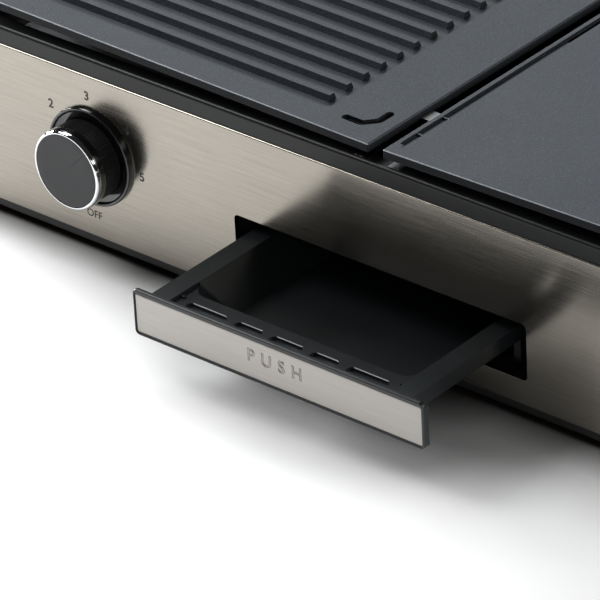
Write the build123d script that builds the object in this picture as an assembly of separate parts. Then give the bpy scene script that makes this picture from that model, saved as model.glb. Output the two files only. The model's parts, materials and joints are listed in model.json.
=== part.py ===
from build123d import *
import os
from math import cos, pi, radians, sin

os.makedirs("parts", exist_ok=True)

# Double contact grill with two lift-off plates, two thermostats and a push-to-open grease drawer.
# All sizes are millimetres. The pieces are drawn with the front sheet's outer face at y = 0,
# the worktop at z = 0 and the middle of the grill at x = 0, and every node is moved back by
# FRONT_Y when it is written, so that the origin is the middle of the footprint.

# Body
HALF_WIDTH = 280.0
BODY_DEPTH = 330.0
FOOT_HEIGHT = 4.4
STRIP_HEIGHT = 5.0
FASCIA_HEIGHT = 88.1
SHEET = 1.0
PANEL = 2.2
FASCIA_BOTTOM = FOOT_HEIGHT + STRIP_HEIGHT
FASCIA_TOP = FASCIA_BOTTOM + FASCIA_HEIGHT
BASE_FLOOR = FOOT_HEIGHT + 2.4
FOOT_X = 250.0
FOOT_Y = (28.0, BODY_DEPTH - 28.0)
TOWER_X = 262.0
CUP_BOTTOM = 54.0
CUP_TOP = 77.0
TOWER_Y = (52.0, BODY_DEPTH - 52.0)

# Knobs
KNOB_X = 177.1
KNOB_Z = 54.0
BEZEL_RADIUS = 26.0
GRIP_RADIUS = 20.3
GRIP_FLUTES = 60
RING_RADIUS = 20.8
FACE_RADIUS = 19.0
KNOB_REACH = 18.8
SHAFT_RADIUS = 3.0
RUNNING_GAP = 0.05
THERMOSTAT_SCREW_X = 14.0

# Drawer and the slot that it closes
DRAWER_OUT = 73.5
SLOT_HALF = 87.0
SLOT_BOTTOM = 22.1
SLOT_TOP = 52.0
FRONT_HALF = 86.4
FRONT_BOTTOM = 22.5
FRONT_TOP = 47.0
FRONT_DEPTH = 4.0
LIP_DEPTH = 2.3
LIP_STEP = 0.3
INLAY_HALF = 85.0
INLAY_BOTTOM = 24.4
INLAY_TOP = 44.4
INLAY_SINK = 0.5
INLAY_SHEET = 0.8
TRAY_LENGTH = 188.0
RAIL_OUTER = 77.6
RAIL_INNER = 66.7
RAIL_TOP = 45.5
LEDGE_TOP = 43.7
TRAY_WALL = 1.8
SKIRT_DROP = 8.0
BASIN_FRONT = 16.5
BASIN_REAR = 178.0
BASIN_FLOOR = 26.0
RECESS_CENTRES = (-48.0, -22.6, 0.0, 22.6, 48.0)
RECESS_LENGTHS = (24.0, 16.2, 19.0, 16.2, 24.0)
RECESS_FRONT = 6.0
RECESS_WIDTH = 4.4
RECESS_DEPTH = 1.6

# Housing behind the slot
HOUSING_HALF = 88.2
HOUSING_FLOOR = 21.0
HOUSING_ROOF = 53.4
HOUSING_REAR = 198.0
HOUSING_WALL = 2.0
GUIDE_INNER = 70.0
GUIDE_OUTER = 74.0
LATCH_GAP = 0.3
LATCH_Z = 37.2
LATCH_HALF_X = 9.0
LATCH_HALF_Z = 7.0
LATCH_Y = (193.0, 218.0)
LATCH_SCREW_X = 13.5
PLUNGER_HALF = 4.0
PLUNGER_REAR = 206.0

# Upper frame, deck and heaters
RIM_INSET = 0.9
RIM_TOP = 106.8
RIM_WALL = 9.1
RIM_ROUND = 2.0
DECK_BOTTOM = 80.0
DECK = 2.0
REFLECTOR_X = (38.0, 264.0)
REFLECTOR_Y = (16.0, BODY_DEPTH - 16.0)
ELEMENT_Z = 100.0
ELEMENT_RADIUS = 3.3
ELEMENT_X = (66.0, 118.0, 170.0, 222.0)
ELEMENT_Y = (52.0, 278.0)
FUNNEL_HALF = 34.0
FUNNEL_Y = (11.6, BODY_DEPTH - 11.6)
FUNNEL_TOP = 98.0
FUNNEL_BOTTOM = 83.0
OUTLET_Y = 100.0
OUTLET_RADIUS = 13.0
REST_X = (9.85, 258.0)
REST_WIDTH = 7.1
REST_SHEET = 0.8
REST_REACH = (3.3, 26.0)
RIVET_Z = 93.0

# Plates
PLATE_GAP = 8.7
PLATE_WIDTH = 267.6
PLATE_THICK = 4.2
PLATE_FRONT = 2.5
PLATE_BOTTOM = 110.8
PLATE_TILT = 1.0
SKIRT_INSET = 12.0
PLATE_FOOT_Y = (20.0, BODY_DEPTH - 20.0)
RIB_PITCH = 12.5
RIB_FIELD_X = (36.0, 256.0)
RIB_FIELD_Y = (18.0, BODY_DEPTH - 18.0)
DRAIN_WIDTH = 3.7
DRAIN_DEPTH = 1.5
DRAIN_X = 2.7
SLOT_WIDTH = 4.4
SLOT_DEPTH = 2.2
BRIDGE_Y = (21.9, 40.8)
PLATE_CORNER = 0.9
PLATE_ROUND = 0.8
BORDER = 5.5
BORDER_STEP = 0.3

# Lead hole, connector and wires
LEAD_X = -220.0
LEAD_Z = 32.0
CLAMP_HALF = 11.0
CLAMP_Y = (296.0, 304.0)
TERMINAL_X = (-246.0, -196.0)
TERMINAL_Y = (262.0, 284.0)
POLE_PITCH = 16.0
POLE_INSET = 5.5
WIRE_Z = 13.0
TAB_Y = 30.0
REAR_SCREW_X = (-262.0, 0.0, 262.0)

# The drawer's front stands this far out, and the lead bushing stands out at the rear.
BUSHING_REACH = 6.0
FRONT_Y = (DRAWER_OUT - BODY_DEPTH - BUSHING_REACH) / 2


def block(x0, x1, y0, y1, z0, z1):
    """Box between two corners."""
    return Pos((x0 + x1) / 2, (y0 + y1) / 2, (z0 + z1) / 2) * Box(x1 - x0, y1 - y0, z1 - z0)


def rounded_block(x0, x1, y0, y1, z0, z1, radius):
    """Box with rounded upright edges."""
    outline = Pos((x0 + x1) / 2, (y0 + y1) / 2, z0) * RectangleRounded(x1 - x0, y1 - y0, radius)
    return extrude(outline, amount=z1 - z0)


def facing_block(x0, x1, y0, y1, z0, z1, radius):
    """Box with its four front-to-back edges rounded."""
    middle = ((x0 + x1) / 2, y1, (z0 + z1) / 2)
    facing = Plane(origin=middle, x_dir=(1, 0, 0), z_dir=(0, -1, 0))
    outline = facing * RectangleRounded(x1 - x0, z1 - z0, radius)
    return extrude(outline, amount=y1 - y0)


def upright(x, y, z0, z1, radius):
    """Round bar along z."""
    return Pos(x, y, (z0 + z1) / 2) * Cylinder(radius, z1 - z0)


def forward(x, z, y0, y1, radius):
    """Round bar along y."""
    return Pos(x, (y0 + y1) / 2, z) * Rot(90, 0, 0) * Cylinder(radius, y1 - y0)


def turned(profile_points, x, z):
    """Solid of revolution about a front-to-back axis, from (radius, y) points."""
    outline = make_face(Polyline(*[(radius, y, 0) for radius, y in profile_points], close=True))
    return Pos(x, 0, z) * revolve(outline, axis=Axis.Y)


def pan_head(x, y, z, direction, radius=3.2, height=1.8, shank=8.0, shank_radius=1.5):
    """Screw whose head lies on the point and whose shank goes the other way."""
    head = Pos(0, 0, height / 2) * Cylinder(radius, height)
    head = fillet(head.edges().filter_by(GeomType.CIRCLE).group_by(Axis.Z)[-1], height * 0.45)
    slot = Pos(0, 0, height) * Box(radius * 1.1, radius * 0.32, height * 0.7)
    cross = Pos(0, 0, height) * Box(radius * 0.32, radius * 1.1, height * 0.7)
    screw = head - slot - cross + Pos(0, 0, -shank / 2) * Cylinder(shank_radius, shank)
    return Plane(origin=(x, y, z), z_dir=direction) * screw


def other_side(part):
    """The same piece on the other side of the grill."""
    return mirror(part, about=Plane.YZ)


def front_fascia():
    """Steel front sheet with a folded top edge, the collared drawer slot and the knob holes."""
    sheet = block(-HALF_WIDTH, HALF_WIDTH, 0, SHEET, FASCIA_BOTTOM, FASCIA_TOP)
    fold_half = HALF_WIDTH - PANEL - 0.3
    fold = block(-fold_half, fold_half, 0, 7, FASCIA_TOP - SHEET, FASCIA_TOP)
    sheet = sheet + fold
    sheet = fillet(sheet.edges().filter_by(Axis.X).group_by(Axis.Z)[-1].sort_by(Axis.Y)[0], 0.8)
    collar = facing_block(-SLOT_HALF - 0.8, SLOT_HALF + 0.8, 0.5, 3.5, SLOT_BOTTOM - 0.8, SLOT_TOP + 0.8, 3.0)
    opening = facing_block(-SLOT_HALF, SLOT_HALF, -1, 5, SLOT_BOTTOM, SLOT_TOP, 2.4)
    sheet = sheet + collar - opening
    for side in (-1, 1):
        sheet -= forward(side * KNOB_X, KNOB_Z, -1, 2, 6.2)
        for screw_side in (-1, 1):
            x = side * KNOB_X + screw_side * THERMOSTAT_SCREW_X
            sheet -= forward(x, KNOB_Z, -1, 2, 1.7)
    return sheet


def base_pan():
    """Moulded base: outer strip, inner wall, screw towers, stiffening ribs and air slots."""
    outer_x, inner_x = HALF_WIDTH - 0.6, HALF_WIDTH - PANEL - 0.3
    strip = rounded_block(-outer_x, outer_x, 0.6, BODY_DEPTH - 0.6, FOOT_HEIGHT, FASCIA_BOTTOM, 3)
    strip = fillet(strip.edges().group_by(Axis.Z)[0], 1.2)
    wall = rounded_block(-inner_x, inner_x, 2.6, BODY_DEPTH - 2.6, FASCIA_BOTTOM, 17.5, 2.5)
    hollow = rounded_block(-inner_x + 2, inner_x - 2, 4.6, BODY_DEPTH - 4.6, BASE_FLOOR, 18, 1.5)
    pan = strip + wall - hollow
    for x in (-TOWER_X, TOWER_X):
        for y in TOWER_Y:
            pan += upright(x, y, BASE_FLOOR, DECK_BOTTOM, 5)
            pan -= upright(x, y, 3, DECK_BOTTOM - 20, 1.6)
    for x in (-150, -96, 96, 150):
        pan += block(x - 1, x + 1, 6, BODY_DEPTH - 6, BASE_FLOOR, 11)
    for y in (212, 240):
        pan += block(-148, 148, y - 1, y + 1, BASE_FLOOR, 11)
    for side in (-1, 1):
        for row in range(9):
            y = 110 + row * 14
            pan -= rounded_block(side * 205 - 28, side * 205 + 28, y - 2, y + 2, 3, 8, 1.9)
        for y in FOOT_Y:
            pan -= upright(side * FOOT_X, y, 3, 8, 4.1)
    return pan


def side_panel():
    """Right end panel: moulded shell with a finger recess under its top edge and louvres."""
    x0, x1 = HALF_WIDTH - PANEL, HALF_WIDTH
    middle = BODY_DEPTH / 2
    panel = block(x0, x1, SHEET, BODY_DEPTH - SHEET, FASCIA_BOTTOM, FASCIA_TOP)
    cup = block(x0 - 18, x0 + 1, middle - 62, middle + 62, CUP_BOTTOM - 2, CUP_TOP + 2)
    cup = fillet(cup.edges().filter_by(Axis.X), 8)
    hand = block(x0 - 16, x1 + 1, middle - 60, middle + 60, CUP_BOTTOM, CUP_TOP)
    hand = fillet(hand.edges().filter_by(Axis.X), 6)
    panel = panel + cup - hand
    for row in range(14):
        y = middle - 91 + row * 14
        louvre = block(x0 - 1, x1 + 1, y - 5, y + 5, 24, 28)
        louvre = fillet(louvre.edges().filter_by(Axis.X), 1.9)
        panel -= louvre
    return panel


def rear_panel():
    """Steel rear sheet with two banks of air slots and the lead hole."""
    y0, y1 = BODY_DEPTH - SHEET, BODY_DEPTH
    panel = block(-HALF_WIDTH, HALF_WIDTH, y0, y1, FASCIA_BOTTOM, FASCIA_TOP)
    for side in (-1, 1):
        for column in range(12):
            x = side * (60 + column * 12)
            panel -= facing_block(x - 2, x + 2, y0 - 1, y1 + 1, 48, 74, 1.9)
    panel -= forward(LEAD_X, LEAD_Z, y0 - 1, y1 + 1, 7.6)
    for x in REAR_SCREW_X:
        panel -= forward(x, 13.5, y0 - 1, y1 + 1, 1.7)
    return panel


def upper_housing():
    """Pressed top frame: rolled rim, inner wall and the deck that carries both heaters."""
    x, y0, y1 = HALF_WIDTH - RIM_INSET, RIM_INSET, BODY_DEPTH - RIM_INSET
    rim = rounded_block(-x, x, y0, y1, FASCIA_TOP + 0.1, RIM_TOP, 7)
    rim = fillet(rim.edges().group_by(Axis.Z)[-1], RIM_ROUND)
    well = rounded_block(-x + RIM_WALL, x - RIM_WALL, y0 + RIM_WALL, y1 - RIM_WALL, 90, 110, 5)
    rim -= well
    top_edges = rim.edges().group_by(Axis.Z)[-1]
    rim = fillet(top_edges.filter_by_position(Axis.Y, y0 + RIM_WALL - 1, y1 - RIM_WALL + 1), 1.6)
    groove = rounded_block(-x + 2, x - 2, y0 + 2, y1 - 2, 90, RIM_TOP - 3.4, 5)
    tub_x, tub_y0, tub_y1 = x - RIM_WALL + 2, y0 + RIM_WALL - 2, y1 - RIM_WALL + 2
    tub = rounded_block(-tub_x, tub_x, tub_y0, tub_y1, DECK_BOTTOM, RIM_TOP - 3.4, 6)
    rim = rim - (groove - tub)
    tub = rounded_block(-tub_x, tub_x, tub_y0, tub_y1, DECK_BOTTOM, FASCIA_TOP + 0.2, 6)
    inside = rounded_block(-tub_x + 2, tub_x - 2, tub_y0 + 2, tub_y1 - 2, DECK_BOTTOM + DECK, 110, 5)
    frame = rim + tub - inside
    frame -= upright(0, OUTLET_Y, DECK_BOTTOM - 1, DECK_BOTTOM + DECK + 1, OUTLET_RADIUS + 1.5)
    for x, end in rest_places():
        frame -= rest_notch(x, end)
        frame -= on_end(forward(x, RIVET_Z, 8.8, 11, 1.5), end)
    for side in (-1, 1):
        for x_end in (ELEMENT_X[0], ELEMENT_X[-1]):
            frame -= upright(side * x_end, ELEMENT_Y[1] + 16, DECK_BOTTOM - 1, DECK_BOTTOM + DECK + 1, 5)
    return frame


def rest_places():
    """Place of every plate rest: x, and +1 for the front wall or -1 for the rear one."""
    return [(side * x, end) for side in (-1, 1) for x in REST_X for end in (1, -1)]


def on_end(part, end):
    """A piece drawn at the front wall, or turned round to the rear one."""
    if end > 0:
        return part
    return mirror(part, about=Plane(origin=(0, BODY_DEPTH / 2, 0), z_dir=(0, 1, 0)))


def rest_notch(x, end):
    """Seat in the rim that lets a rest lie flush."""
    half = REST_WIDTH / 2 + 0.15
    front = REST_REACH[0] - 0.1
    return on_end(block(x - half, x + half, front, 14, RIM_TOP - REST_SHEET - 0.05, RIM_TOP + 1), end)


def plate_rest(x, end):
    """Bent steel strip: its leg is fixed to the rim's inner wall, a plate's foot stands on top."""
    half, wall = REST_WIDTH / 2, RIM_INSET + RIM_WALL + 0.05
    top = block(x - half, x + half, *REST_REACH, RIM_TOP - REST_SHEET, RIM_TOP)
    leg = block(x - half, x + half, wall, wall + REST_SHEET, 86, RIM_TOP)
    under = RIM_TOP - REST_SHEET / 2
    gusset = make_face(Polyline((0, wall, 99), (0, 20, under), (0, wall, under), close=True))
    strip = top + leg + Pos(x - 0.4, 0, 0) * extrude(gusset, amount=0.8, dir=(1, 0, 0))
    return on_end(strip - forward(x, RIVET_Z, wall - 1, wall + 2, 1.5), end)


def plate_rests(side):
    """The four rests under one plate."""
    return [plate_rest(side * x, end) for x in REST_X for end in (1, -1)]


def rest_rivets():
    """One rivet through the leg of every rest."""
    rivets = []
    for x, end in rest_places():
        y = RIM_INSET + RIM_WALL + 0.05 + REST_SHEET
        rivets.append(on_end(pan_head(x, y, RIVET_Z, (0, 1, 0), radius=2.4, height=0.7, shank=1.8), end))
    return rivets


def reflector():
    """Right heat reflector: a shallow pressed pan with a turned-out flange and three swages."""
    (x0, x1), (y0, y1) = REFLECTOR_X, REFLECTOR_Y
    bottom, top, sheet = DECK_BOTTOM + DECK, 94.0, 0.9
    middle = ((x0 + x1) / 2, (y0 + y1) / 2)

    def pan(grow, z0, z1):
        low = Pos(*middle, z0) * RectangleRounded(x1 - x0 - 14 + grow, y1 - y0 - 14 + grow, 14)
        high = Pos(*middle, z1) * RectangleRounded(x1 - x0 + grow, y1 - y0 + grow, 16)
        return loft([low, high])

    flange = rounded_block(x0 - 3, x1 + 3, y0 - 3, y1 + 3, top - sheet, top, 18)
    body = pan(0, bottom, top) + flange - pan(-2 * sheet, bottom + sheet, top + 0.01)
    for y in (90, 165, 240):
        body += rounded_block(x0 + 40, x1 - 40, y - 3, y + 3, bottom + sheet, bottom + 2.2, 2.9)
    for x in (ELEMENT_X[0], ELEMENT_X[-1]):
        body -= upright(x, ELEMENT_Y[1] + 16, bottom - 1, bottom + 4, 5)
    return body


def heating_element():
    """Right tubular element: one bent tube of four runs, both ends turned down at the rear."""
    xs, (y0, y1), z = ELEMENT_X, ELEMENT_Y, ELEMENT_Z
    end_y = y1 + 16
    route = [(xs[0], end_y, 72), (xs[0], end_y, z), (xs[0], y0, z), (xs[1], y0, z), (xs[1], y1 - 8, z),
             (xs[2], y1 - 8, z), (xs[2], y0, z), (xs[3], y0, z), (xs[3], end_y, z), (xs[3], end_y, 72)]
    path = FilletPolyline(*route, radius=14)
    tube = sweep(Plane(origin=path @ 0, z_dir=path % 0) * Circle(ELEMENT_RADIUS), path=path)
    for x in (xs[0], xs[-1]):
        tube += upright(x, end_y, 66, 72.01, 2.0)
        tube += block(x - 0.4, x + 0.4, end_y - 3.1, end_y + 3.1, 58, 66.5)
    return tube


def element_clips():
    """Right set of clips: a pressed saddle under each outer run, standing on the reflector."""
    floor = DECK_BOTTOM + DECK + 0.9
    clips = []
    for x in (ELEMENT_X[0], ELEMENT_X[-1]):
        for y in (110, 215):
            foot = block(x - 9, x + 9, y - 4, y + 4, floor, floor + 1)
            post = block(x - 5, x + 5, y - 0.6, y + 0.6, floor + 1, ELEMENT_Z + 1)
            tab = block(x - 5, x + 5, y - 4, y + 4, floor + 1, floor + 2)
            clip = foot + post + tab - forward(x, ELEMENT_Z, y - 5, y + 5, ELEMENT_RADIUS + 0.02)
            clips.append(clip)
    return clips


def grease_funnel():
    """Pressed funnel under the gap: four sloping faces lead the fat to one spout over the drawer."""
    y0, y1 = FUNNEL_Y
    middle = (y0 + y1) / 2

    def hopper(grow, z0, z1):
        low = Pos(0, OUTLET_Y, z0) * RectangleRounded(2 * OUTLET_RADIUS + grow, 2 * OUTLET_RADIUS + grow, 6)
        high = Pos(0, middle, z1) * RectangleRounded(2 * FUNNEL_HALF - 4 + grow, y1 - y0 - 4 + grow, 4)
        return loft([low, high])

    shell = hopper(2.4, FUNNEL_BOTTOM, FUNNEL_TOP)
    lip = rounded_block(-FUNNEL_HALF, FUNNEL_HALF, y0, y1, FUNNEL_TOP - 1.2, FUNNEL_TOP, 4)
    spout = upright(0, OUTLET_Y, 50.5, FUNNEL_BOTTOM + 1.2, OUTLET_RADIUS)
    spout += upright(0, OUTLET_Y, DECK_BOTTOM + DECK, FUNNEL_BOTTOM + 0.5, OUTLET_RADIUS + 4)
    bore = upright(0, OUTLET_Y, 50, FUNNEL_BOTTOM + 4, OUTLET_RADIUS - 1.2)
    return shell + lip + spout - hopper(0, FUNNEL_BOTTOM + 1.2, FUNNEL_TOP + 0.01) - bore


def plate_spacers():
    """Two steel tongues that stand in the gap and keep the plates apart."""
    spacers = []
    for end in (1, -1):
        bar = block(-FUNNEL_HALF, FUNNEL_HALF, 41, 48, FUNNEL_TOP, FUNNEL_TOP + 0.8)
        tongue = block(-3.9, 3.9, 40.3, 48.7, FUNNEL_TOP, 112)
        tongue -= block(-3.1, 3.1, 40, 50, FUNNEL_TOP + 0.8, 111.2)
        spacers.append(on_end(bar + tongue, end))
    return spacers


def plate_blank():
    """Right plate before its top is shaped: cast slab with a border, feet and underside ribs."""
    length = BODY_DEPTH - 2 * PLATE_FRONT
    slab = rounded_block(0, PLATE_WIDTH, 0, length, 0, PLATE_THICK, PLATE_CORNER)
    slab = fillet(slab.edges().group_by(Axis.Z)[-1], PLATE_ROUND)
    for y in (60, 120, 205, 265):
        slab += block(24, PLATE_WIDTH - 24, y - 1.5, y + 1.5, -1, 0.1)
    for x in (70, 135, 200):
        slab += block(x - 1.5, x + 1.5, 30, length - 30, -1, 0.1)
    return slab


def plate_skirt():
    """Upright wall under a plate that keeps the heat in, drawn level and taller than it stays."""
    x0, x1 = PLATE_GAP / 2 + SKIRT_INSET, PLATE_GAP / 2 + PLATE_WIDTH - SKIRT_INSET
    y0, y1 = PLATE_FRONT + SKIRT_INSET, BODY_DEPTH - PLATE_FRONT - SKIRT_INSET
    outside = rounded_block(x0, x1, y0, y1, RIM_TOP + 1.5, PLATE_BOTTOM + 20, 6)
    return outside - rounded_block(x0 + 2, x1 - 2, y0 + 2, y1 - 2, RIM_TOP, PLATE_BOTTOM + 21, 4)


def tilted(plate):
    """Turns a plate about its inner lower edge to drain to the gap, and adds its skirt and feet."""
    seat = Pos(PLATE_GAP / 2, PLATE_FRONT, PLATE_BOTTOM) * Rot(0, -PLATE_TILT, 0)
    placed = seat * plate + (plate_skirt() - seat * block(-50, 400, -50, 400, 1, 60))
    for x in REST_X:
        rise = (x - PLATE_GAP / 2) * sin(radians(PLATE_TILT))
        for y in PLATE_FOOT_Y:
            placed += upright(x, y, RIM_TOP + 0.05, PLATE_BOTTOM + rise + 1, 3)
    return placed


def channel(points, width, z0, z1):
    """Straight-sided groove of one width along an open line of (x, y) points."""
    line = FilletPolyline(*points, radius=width * 0.55) if len(points) > 2 else Line(*points)
    return Pos(0, 0, z0) * extrude(make_face(offset(line, amount=width / 2, side=Side.BOTH)), amount=z1 - z0)


def plancha_plate():
    """Right plate: flat cooking face, and a stepped drain channel along its inner edge."""
    plate = plate_blank()
    length = BODY_DEPTH - 2 * PLATE_FRONT
    x0, x1 = DRAIN_X, DRAIN_X + DRAIN_WIDTH
    face_top = PLATE_THICK - BORDER_STEP
    plate -= rounded_block(x1 - 1, PLATE_WIDTH - BORDER, BORDER, length - BORDER, face_top, PLATE_THICK + 1, 3)
    plate -= rounded_block(x0, x1, 9, length - 9, PLATE_THICK - DRAIN_DEPTH, PLATE_THICK + 1, 1.2)
    for y in BRIDGE_Y:
        for place in (y, length - y):
            bridge = Cylinder(0.8, DRAIN_WIDTH + 0.4)
            plate += Pos((x0 + x1) / 2, place, PLATE_THICK - 1.0) * Rot(0, 90, 0) * bridge
    drain = rounded_block(x0 + 0.4, x1 - 0.4, length / 2 - 30, length / 2 + 30, -2, PLATE_THICK, 1.3)
    return tilted(plate - drain)


def grill_plate():
    """Left plate: ribbed field that drains to the gap, and a bent drain slot at both inner corners."""
    plate = plate_blank()
    length = BODY_DEPTH - 2 * PLATE_FRONT
    (x0, x1), (y0, y1) = RIB_FIELD_X, RIB_FIELD_Y
    plate -= rounded_block(x0, x1, y0 - PLATE_FRONT, y1 - PLATE_FRONT, PLATE_THICK - 2, PLATE_THICK + 1, 4)
    count = int((y1 - y0) / RIB_PITCH)
    first = (y0 + y1) / 2 - PLATE_FRONT - (count - 1) * RIB_PITCH / 2
    foot_z, crest_z = PLATE_THICK - 2.1, PLATE_THICK + 1.0
    profile = ((-3.0, foot_z), (-1.6, crest_z), (1.6, crest_z), (3.0, foot_z))
    for index in range(count):
        y = first + index * RIB_PITCH
        section = make_face(Polyline(*[(x0 + 6, y + dy, z) for dy, z in profile], close=True))
        plate += extrude(section, amount=x1 - x0 - 12, dir=(1, 0, 0))
    corner = [(24.2, 13.8), (15.0, 13.8), (9.6, 20.0), (9.6, 27.6)]
    for route in (corner, [(x, length - y) for x, y in corner]):
        plate -= channel(route, SLOT_WIDTH, PLATE_THICK - SLOT_DEPTH, PLATE_THICK + 1)
        plate -= channel(route[:2], SLOT_WIDTH - 1.2, -2, PLATE_THICK)
    return other_side(tilted(plate))


def thermostat():
    """Right thermostat: moulded body on a mounting plate, threaded bush and two tabs."""
    x, z = KNOB_X, KNOB_Z
    body = block(x - 17, x + 17, 4.4, 24, z - 17, z + 17)
    body = fillet(body.edges().filter_by(Axis.Y), 3)
    plate = facing_block(x - 22, x + 22, 1.05, 2.2, z - 12, z + 12, 4)
    bush = forward(x, z, -1.6, 4.5, 5.8)
    spacer = forward(x, z, 2.1, 4.5, 11)
    part = body + plate + bush + spacer - forward(x, z, -3, 21, SHAFT_RADIUS + RUNNING_GAP)
    for side in (-1, 1):
        part -= forward(x + side * THERMOSTAT_SCREW_X, z, 0, 3, 1.4)
        part += block(x + side * 9 - 3.1, x + side * 9 + 3.1, 23.9, 32, z - 6.4, z - 5.6)
    return part


def thermostat_shaft():
    """Right spindle, with a flat where the knob grips it."""
    x, z = KNOB_X, KNOB_Z
    shaft = forward(x, z, -11.6, 20, SHAFT_RADIUS)
    return shaft - block(x - 4, x + 4, -15, -5, z + 1.6, z + 4)


def bezel():
    """Right bezel: shallow black dish with a raised outer lip."""
    profile = [(6.4, -0.02), (BEZEL_RADIUS, -0.02), (BEZEL_RADIUS, -1.8), (BEZEL_RADIUS - 0.7, -2.6),
               (BEZEL_RADIUS - 1.9, -2.6), (BEZEL_RADIUS - 3.2, -1.2), (6.4, -1.2)]
    ring = turned(profile, KNOB_X, KNOB_Z)
    for side in (-1, 1):
        ring -= forward(KNOB_X + side * THERMOSTAT_SCREW_X, KNOB_Z, -3, 1, 1.7)
    return ring


def knob_grip():
    """Right knob body: finely fluted skirt, hollow behind, with a hub for the spindle."""
    x, z = KNOB_X, KNOB_Z
    points = []
    for flute in range(GRIP_FLUTES):
        for step, radius in ((0, GRIP_RADIUS), (0.5, GRIP_RADIUS - 0.6)):
            angle = 2 * pi * (flute + step) / GRIP_FLUTES
            points.append((radius * cos(angle), radius * sin(angle)))
    facing = Plane(origin=(x, -2.0, z), x_dir=(1, 0, 0), z_dir=(0, -1, 0))
    outline = facing * make_face(Polyline(*points, close=True))
    grip = extrude(outline, amount=11.0)
    grip -= forward(x, z, -8, -1, 18.0)
    grip += forward(x, z, -9, -3.5, 6.0)
    return grip - (forward(x, z, -12, -1, SHAFT_RADIUS) - block(x - 4, x + 4, -15, -5, z + 1.6, z + 4))


def knob_ring():
    """Right bright ring round the knob's front."""
    inner, outer = FACE_RADIUS + 0.15, RING_RADIUS
    profile = [(inner, -13.0), (outer, -13.0), (outer, -17.9), (outer - 0.3, -18.5),
               (outer - 0.8, -KNOB_REACH), (inner + 0.35, -KNOB_REACH), (inner, -18.5)]
    return turned(profile, KNOB_X, KNOB_Z)


def knob_face():
    """Right face disc with its fine pointer groove."""
    disc = forward(KNOB_X, KNOB_Z, -18.4, -13.0, FACE_RADIUS + 0.1)
    disc -= forward(KNOB_X, KNOB_Z, -15.5, -12, 15.0)
    disc += forward(KNOB_X, KNOB_Z, -15.6, -14.0, 3.0)
    groove = Plane(origin=(KNOB_X, -18.2, KNOB_Z), x_dir=(1, 0, 0), z_dir=(0, -1, 0)) * Rot(0, 0, 45)
    return disc - groove * Pos(10.5, 0, 0.5) * Box(13, 0.5, 1)


def left_of(part):
    """A knob piece moved, not mirrored, to the left knob."""
    return Pos(-2 * KNOB_X, 0, 0) * part


def thermostat_screws():
    """Four screws through bezel, front sheet and thermostat plate."""
    screws = []
    for side in (-1, 1):
        for screw_side in (-1, 1):
            x = side * KNOB_X + screw_side * THERMOSTAT_SCREW_X
            screws.append(pan_head(x, -1.2, KNOB_Z, (0, -1, 0), radius=2.8, height=1.4, shank=5.0,
                                   shank_radius=1.4))
    return screws


def tray_basin(grow, z0, z1):
    """Tapered body of the grease basin, with large corner radii."""
    y0, y1 = BASIN_FRONT, BASIN_REAR
    fall = RAIL_TOP - BASIN_FLOOR
    middle = (y0 + y1) / 2
    low_half, low_length = RAIL_INNER - 0.62 * fall, y1 - y0 - 1.2 * fall
    taper = (z0 - BASIN_FLOOR) / fall
    half = low_half + (RAIL_INNER - low_half) * taper
    length = low_length + (y1 - y0 - low_length) * taper
    low = Pos(0, middle, z0) * RectangleRounded(2 * (half + grow), length + 2 * grow, 9 + grow)
    high = Pos(0, middle, z1) * RectangleRounded(2 * (RAIL_INNER + grow), y1 - y0 + 2 * grow, 8 + grow)
    return loft([low, high])


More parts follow.
